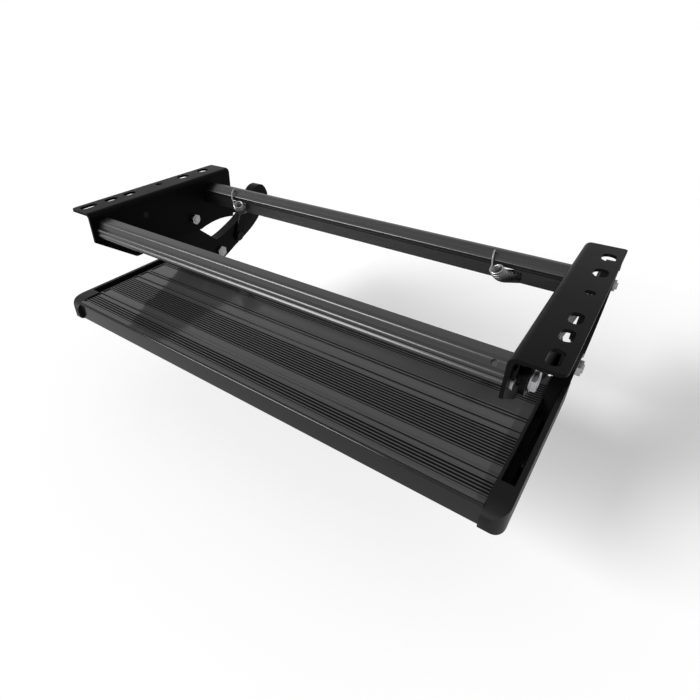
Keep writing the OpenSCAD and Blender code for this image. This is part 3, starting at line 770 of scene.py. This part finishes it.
def make_camera():
    """The photograph's camera, as solved from the edges of the step."""
    data = bpy.data.cameras.new("camera")
    camera = bpy.data.objects.new("camera", data)
    bpy.context.scene.collection.objects.link(camera)
    azimuth, elevation = math.radians(CAMERA_AZIMUTH), math.radians(CAMERA_ELEVATION)
    roll = math.radians(CAMERA_ROLL)
    level = math.cos(elevation)
    back = Vector((math.sin(azimuth) * level, -math.cos(azimuth) * level, math.sin(elevation)))
    side = Vector((math.cos(azimuth), math.sin(azimuth), 0))
    above = back.cross(side)
    right = math.cos(roll) * side + math.sin(roll) * above
    up = math.cos(roll) * above - math.sin(roll) * side
    turned = Matrix((right, up, back)).transposed().to_4x4()
    camera.matrix_world = Matrix.Translation(CAMERA_AT) @ turned
    data.sensor_width = SENSOR
    data.lens = FOCAL_PX * data.sensor_width / PHOTO_PX
    data.shift_x = (PHOTO_PX / 2 - CENTRE_PX[0]) / PHOTO_PX
    data.shift_y = (CENTRE_PX[1] - PHOTO_PX / 2) / PHOTO_PX
    data.clip_start = NEAREST
    bpy.context.scene.camera = camera


def looked_at(tree):
    """1 for what the camera, a mirror or glass sees, and 0 for what only lights the object."""
    rays = tree.nodes.new("ShaderNodeLightPath").outputs
    seen = rays["Is Camera Ray"]
    for other in ("Is Glossy Ray", "Is Transmission Ray"):
        larger = tree.nodes.new("ShaderNodeMath")
        larger.operation = "MAXIMUM"
        tree.links.new(seen, larger.inputs[0])
        tree.links.new(rays[other], larger.inputs[1])
        seen = larger.outputs[0]
    return seen


def make_floor():
    """A pale floor, white to the camera and to mirrors apart from the shadow."""
    deselect()
    bpy.ops.mesh.primitive_plane_add(size=FLOOR_SIZE, location=(0, 0, FLOOR_Z))
    floor = bpy.context.active_object
    floor.name = "floor"
    f = Finish("floor_white", colours().floor, rough=0.9, specular=0.1)
    f.shader.inputs["Emission Color"].default_value = WHITE
    lift = f.between(looked_at(f.tree), 0, FLOOR_LIFT, 0, 1)
    f.link(lift, f.shader.inputs["Emission Strength"])
    floor.data.materials.append(f.material)


def make_lights():
    """Even light from all round, and a wide soft sun from the front left."""
    world = bpy.data.worlds.new("studio")
    bpy.context.scene.world = world
    world.use_nodes = True
    tree = world.node_tree
    strength = tree.nodes.new("ShaderNodeMapRange")
    strength.inputs["To Min"].default_value = WORLD_LIGHT
    tree.links.new(looked_at(tree), strength.inputs["Value"])
    background = tree.nodes["Background"]
    background.inputs["Color"].default_value = WHITE
    tree.links.new(strength.outputs["Result"], background.inputs["Strength"])
    sun = bpy.data.lights.new("sun", "SUN")
    sun.energy = SUN_POWER
    sun.angle = math.radians(SUN_SPREAD)
    lamp = bpy.data.objects.new("sun", sun)
    lamp.location = SUN_FROM
    lamp.rotation_mode = "QUATERNION"
    lamp.rotation_quaternion = (-Vector(SUN_FROM)).to_track_quat("-Z", "Y")
    bpy.context.scene.collection.objects.link(lamp)
    bpy.context.scene.view_settings.view_transform = "Standard"


class STEP_PT_panel(bpy.types.Panel):
    bl_label = "Folding Step"
    bl_idname = "STEP_PT_panel"
    bl_space_type = "VIEW_3D"
    bl_region_type = "UI"
    bl_category = "Folding Step"

    def draw(self, context):
        layout = self.layout
        for group in (context.scene.step_sizes, context.scene.step_colours):
            for name in group.__annotations__:
                layout.prop(group, name)
        for operator in OPERATORS:
            layout.operator(operator.bl_idname)


OPERATORS = (STEP_OT_brackets, STEP_OT_cross_members, STEP_OT_bars, STEP_OT_tread,
             STEP_OT_caps, STEP_OT_springs, STEP_OT_fasteners, STEP_OT_stage)
CLASSES = (StepSizes, StepColours, *OPERATORS, STEP_PT_panel)


def register():
    for cls in CLASSES:
        bpy.utils.register_class(cls)
    bpy.types.Scene.step_sizes = PointerProperty(type=StepSizes)
    bpy.types.Scene.step_colours = PointerProperty(type=StepColours)


def unregister():
    del bpy.types.Scene.step_colours
    del bpy.types.Scene.step_sizes
    for cls in reversed(CLASSES):
        bpy.utils.unregister_class(cls)


def main():
    register()
    for operator in OPERATORS:
        group, name = operator.bl_idname.split(".")
        getattr(getattr(bpy.ops, group), name)()


if __name__ == "__main__":
    main()
